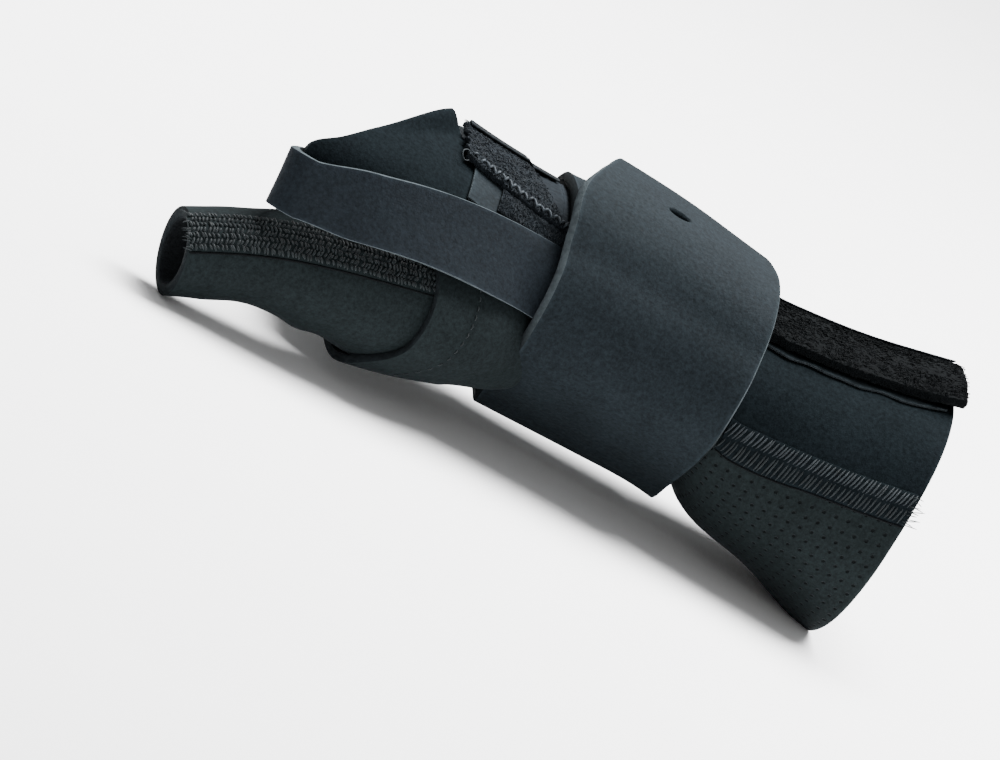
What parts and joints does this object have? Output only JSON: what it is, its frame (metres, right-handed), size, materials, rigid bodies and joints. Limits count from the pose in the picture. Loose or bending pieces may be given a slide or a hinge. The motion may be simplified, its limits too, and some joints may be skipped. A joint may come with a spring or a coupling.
{
  "type": "wrist splint",
  "caption": "Black neoprene wrist and thumb splint with a wide wrist strap, thumb sleeve, web strap, back closure flap and a removable palm stay.",
  "frame": {"origin": "middle of the splint's box, on the surface it lies on", "axes": "+X from the fingers to the elbow, +Z to the back of the hand, -Y the thumb side of a right hand"},
  "size_m": [0.2157, 0.1039, 0.0819],
  "materials": {
    "perforated_neoprene": "matt knit faced neoprene with small punched holes",
    "smooth_neoprene": "matt knit faced neoprene",
    "strap_neoprene": "smooth faced neoprene strap with a fine grain",
    "thread": "dense flat seam stitching",
    "loop_pile": "rough loop pile",
    "hook_tape": "hook tape",
    "aluminium": "mill finish bar"
  },
  "bodies": {
    "root": {"palm_panel": "perforated_neoprene", "thumb_side_panel": "smooth_neoprene", "little_finger_side_panel": "smooth_neoprene", "forearm_seam": "thread", "far_seam": "thread", "thumb_sleeve": "smooth_neoprene", "thenar_panel": "smooth_neoprene", "thumb_seam": "thread", "thumb_wrap": "smooth_neoprene", "thumb_strap": "strap_neoprene", "wrist_strap": "strap_neoprene", "closure_flap_middle": "loop_pile", "hand_patch": "loop_pile", "stay_pocket": "smooth_neoprene"},
    "strap_tail_1": {"wrist_strap_tail_1": "strap_neoprene"},
    "strap_tail_2": {"wrist_strap_tail_2": "strap_neoprene"},
    "strap_tail_3": {"wrist_strap_tail_3": "strap_neoprene", "wrist_strap_hook": "hook_tape"},
    "flap_hand": {"closure_flap_hand": "loop_pile", "hand_hook_tape": "hook_tape"},
    "flap_forearm": {"closure_flap_forearm": "loop_pile", "forearm_hook_tape": "hook_tape"},
    "stay": {"palm_stay": "aluminium"}
  },
  "joints": [
    {"name": "strap_peel", "type": "hinge", "parent": "root", "child": "strap_tail_1", "pos_m": [0.01956, -0.02757, 0.06233], "axis": [0.9994, 0, 0.0349], "range_deg": [0, 50]},
    {"name": "strap_peel_2", "type": "hinge", "parent": "strap_tail_1", "child": "strap_tail_2", "pos_m": [0.01895, -0.01088, 0.07975], "axis": [0.9994, 0, 0.0349], "range_deg": [0, 50]},
    {"name": "strap_peel_3", "type": "hinge", "parent": "strap_tail_2", "child": "strap_tail_3", "pos_m": [0.0189, 0.02604, 0.08112], "axis": [0.9994, 0, 0.0349], "range_deg": [0, 50]},
    {"name": "hand_flap_peel", "type": "hinge", "parent": "root", "child": "flap_hand", "pos_m": [-0.03035, 0.01468, 0.07022], "axis": [-0.9945, -0.0548, 0.0888], "range_deg": [0, 110]},
    {"name": "forearm_flap_peel", "type": "hinge", "parent": "root", "child": "flap_forearm", "pos_m": [0.07928, 0.03004, 0.07131], "axis": [-0.9923, -0.0518, -0.1125], "range_deg": [0, 110]},
    {"name": "stay_slide", "type": "slide", "parent": "root", "child": "stay", "axis": [-0.9994, 0, -0.0349], "range_m": [0, 0.074]}
  ],
  "couplings": [
    {"joint": "strap_peel_2", "follows": "strap_peel", "ratio": 1},
    {"joint": "strap_peel_3", "follows": "strap_peel", "ratio": 1}
  ]
}
